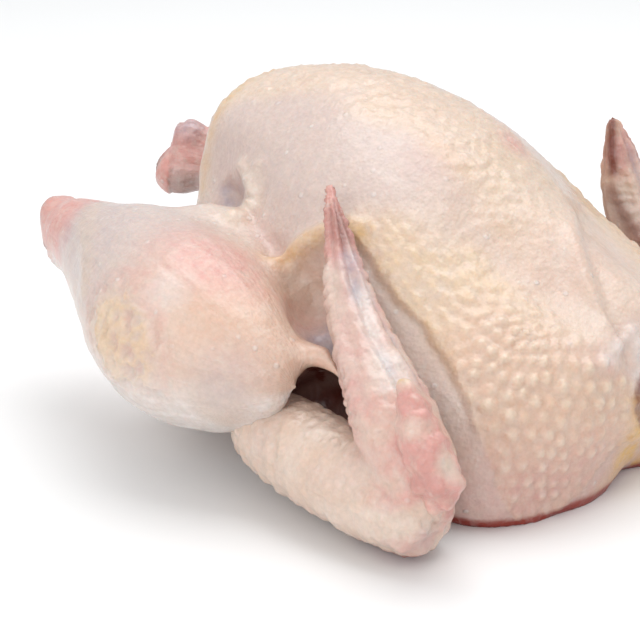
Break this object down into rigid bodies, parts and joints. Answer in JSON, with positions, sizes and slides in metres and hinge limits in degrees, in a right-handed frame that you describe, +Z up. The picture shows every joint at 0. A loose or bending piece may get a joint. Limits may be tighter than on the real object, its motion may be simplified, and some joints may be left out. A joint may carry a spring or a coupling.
{
  "type": "whole raw chicken",
  "caption": "Whole raw dressed chicken lying on its back, breast up, with folded wings and loose drumsticks.",
  "frame": {"origin": "on the ground, under the middle of the bird's whole extent", "axes": "+X towards the neck, +Y towards the bird's right side as it lies breast up, +Z up"},
  "size_m": [0.2018, 0.1982, 0.1058],
  "materials": {
    "chicken": "moist skin"
  },
  "bodies": {
    "root": {"chicken": "chicken"}
  },
  "joints": []
}
